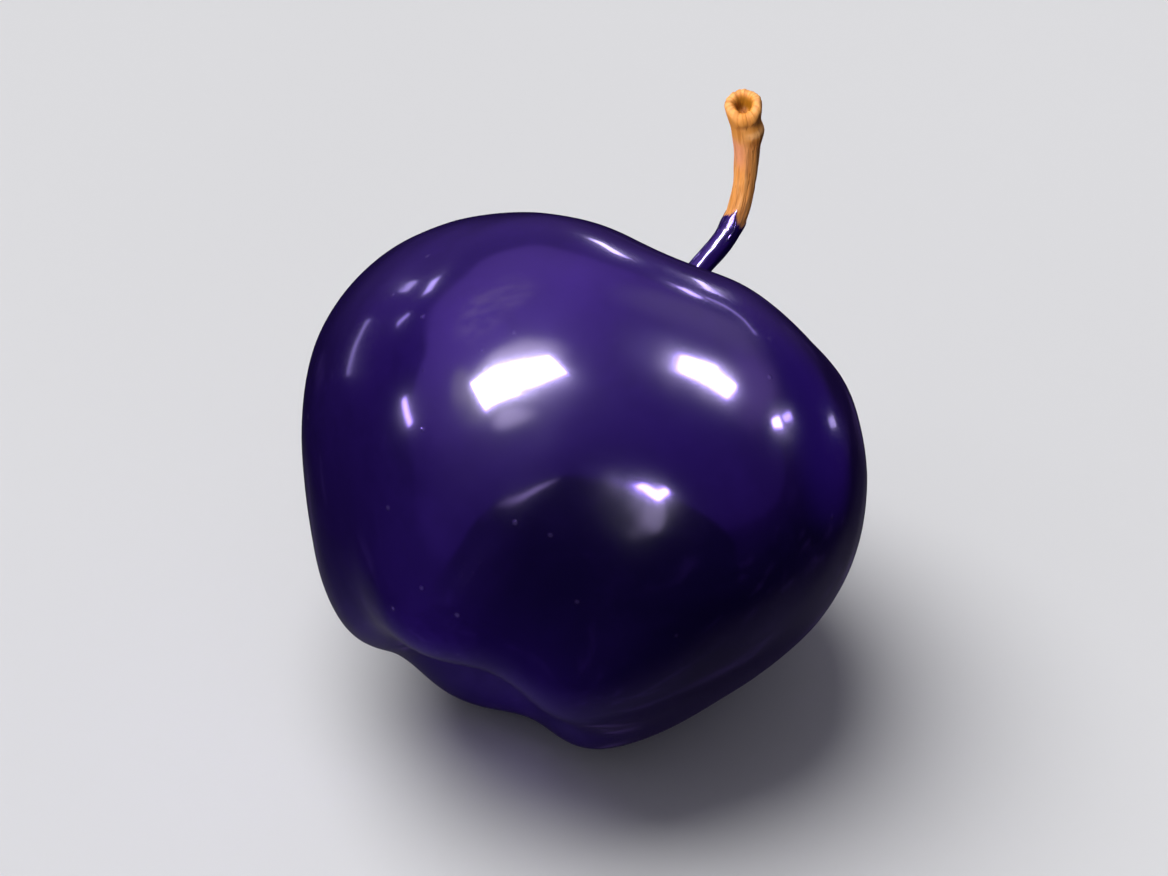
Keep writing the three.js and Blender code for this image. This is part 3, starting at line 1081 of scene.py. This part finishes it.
# Soft ovals of light in the room: the way to each, its long side, its half sizes in degrees, its colour, its
# share at the middle, and how fast it fades from there.
glows = {
    "frontGlow": ((0.210, -0.950, 0.225), (0.18, 0.23, 0.96), (9.5, 4.4), (2.3, 2.6, 1.8), 0.75, 1.0),
    "frontArc": ((-0.335, -0.895, 0.288), (0.89, -0.14, 0.44), (14, 1.9), (1.9, 1.9, 1.8), 0.9, 1.0),
    "leftWide": ((-0.53, -0.38, 0.755), (0.86, 0.22, 0.45), (27, 19), (1.0, 1.3, 0.5), 0.8, 1.0),
    "leftAbove": ((-0.30, -0.11, 0.95), (0.915, 0.20, 0.35), (28, 13), (2.8, 3.0, 2.2), 0.9, 2.5),
    "leftBeside": ((-0.79, -0.22, 0.57), (-0.10, -0.90, -0.42), (17, 10), (1.2, 1.3, 0.9), 0.7, 2.0),
    "leftSmear": ((-0.42, -0.64, 0.645), (0.78, 0.10, 0.61), (15, 6.5), (2.9, 3.2, 2.3), 0.9, 2.5),
    "rightBeside": ((0.83, 0.24, 0.50), (0.08, -0.94, 0.33), (30, 21), (0.62, 0.45, 0.85), 0.6, 2.0),
    "rightAbove": ((0.56, 0.60, 0.57), (0.49, 0.24, -0.84), (26, 18), (0.70, 0.66, 0.70), 0.45, 2.0),
    "rightRim": ((0.86, 0.46, -0.12), (-0.1, 0.1, 1.0), (34, 32), (0.05, 0.014, 0.28), 0.75, 1.0),
}


def studioWorld():
    world = bpy.data.worlds.new("studio")
    bpy.context.scene.world = world
    world.use_nodes = True
    world.node_tree.nodes.clear()
    root = Wire(world.node_tree)
    way = root.node("ShaderNodeTexCoord", {}, {}, "Generated")
    _, depth, rise = way.apart()

    def toward(direction):
        return way.along(Vector(direction).normalized())

    def oval(centre, lengthwise, halves):  # 1 at its middle and 0 from its edge
        across = Vector(centre).cross(Vector(lengthwise))
        long, wide = (math.sin(math.radians(half)) for half in halves)
        u = toward(across.cross(Vector(centre))) / long
        v = toward(across) / wide
        return (1 - (u * u + v * v).step(0.0, 1.0)) * toward(centre).step(0.5, 0.8)

    litSide = toward(studio["litSide"]).step(-0.2, 0.85) * rise.step(-0.1, 0.75)
    room = root.mixed(studio["room"], studio["roomLit"], litSide)
    below = root.mixed(studio["below"], studio["belowBack"], depth.step(0.3, 1.0))
    edge = depth.step(-0.35, 0.35) * studio["edgeRise"] - studio["edgeDrop"]
    room = root.mixed(below, room, (rise - edge).step(-0.03, 0.05))
    faint = root.noise(way, 0.16, 2.0, 0.6).step(0.56, 0.76)
    dark = root.mixed(studio["dark"], studio["darkFaint"], faint)
    inDark = toward(studio["darkMiddle"]).step(*studio["darkEdge"])
    room = root.mixed(dark, room, (1 - inDark) * rise.step(-0.55, 0.25))
    for centre, lengthwise, halves, tint, share, fade in glows.values():
        room = root.mixed(room, colour(*tint), oval(centre, lengthwise, halves) ** fade * share)
    strokes = root.noise(way.stretched(0.7, 3.0, 3.0), 0.20, 2.0, 0.6).step(0.35, 0.65)
    brushed = oval(*studio["brushedOval"]) * strokes * studio["brushedShare"]
    room = root.mixed(room, studio["brushed"], brushed)

    # Only mirroring sees the room. Matt surfaces get neutral light, and the camera sees a plain backdrop.
    rays = root.node("ShaderNodeLightPath", {}, {}, "Is Camera Ray")
    soft = root.mixed(studio["softLow"], studio["softHigh"], rise.step(-0.1, 0.5))
    seen = root.mixed(soft, room, rays.other("Is Glossy Ray"))
    seen = root.mixed(seen, studio["backdrop"], rays)
    glow = root.node("ShaderNodeBackground", {}, {"Color": seen})
    root.node("ShaderNodeOutputWorld", {}, {"Surface": glow})


studioWorld()

view = {
    "elevation": 43.3,  # degrees above the horizon
    "distance": 0.725,  # metres
    "lens": 162.0,  # millimetres
    "aimRise": 0.004,  # metres over the middle of the apple's box
}
slope = math.radians(view["elevation"])
back = Vector((0, -math.cos(slope), math.sin(slope)))
lens = bpy.data.cameras.new("view")
lens.lens = view["lens"]
lens.clip_start, lens.clip_end = 0.01, 50
camera = bpy.data.objects.new("view", lens)
camera.location = middle + Vector((0, 0, view["aimRise"])) + back * view["distance"]
camera.rotation_euler = back.to_track_quat("Z", "Y").to_euler()
bpy.context.scene.collection.objects.link(camera)
bpy.context.scene.camera = camera
bpy.context.scene.view_settings.view_transform = "Standard"
print("lights, floor and camera set")
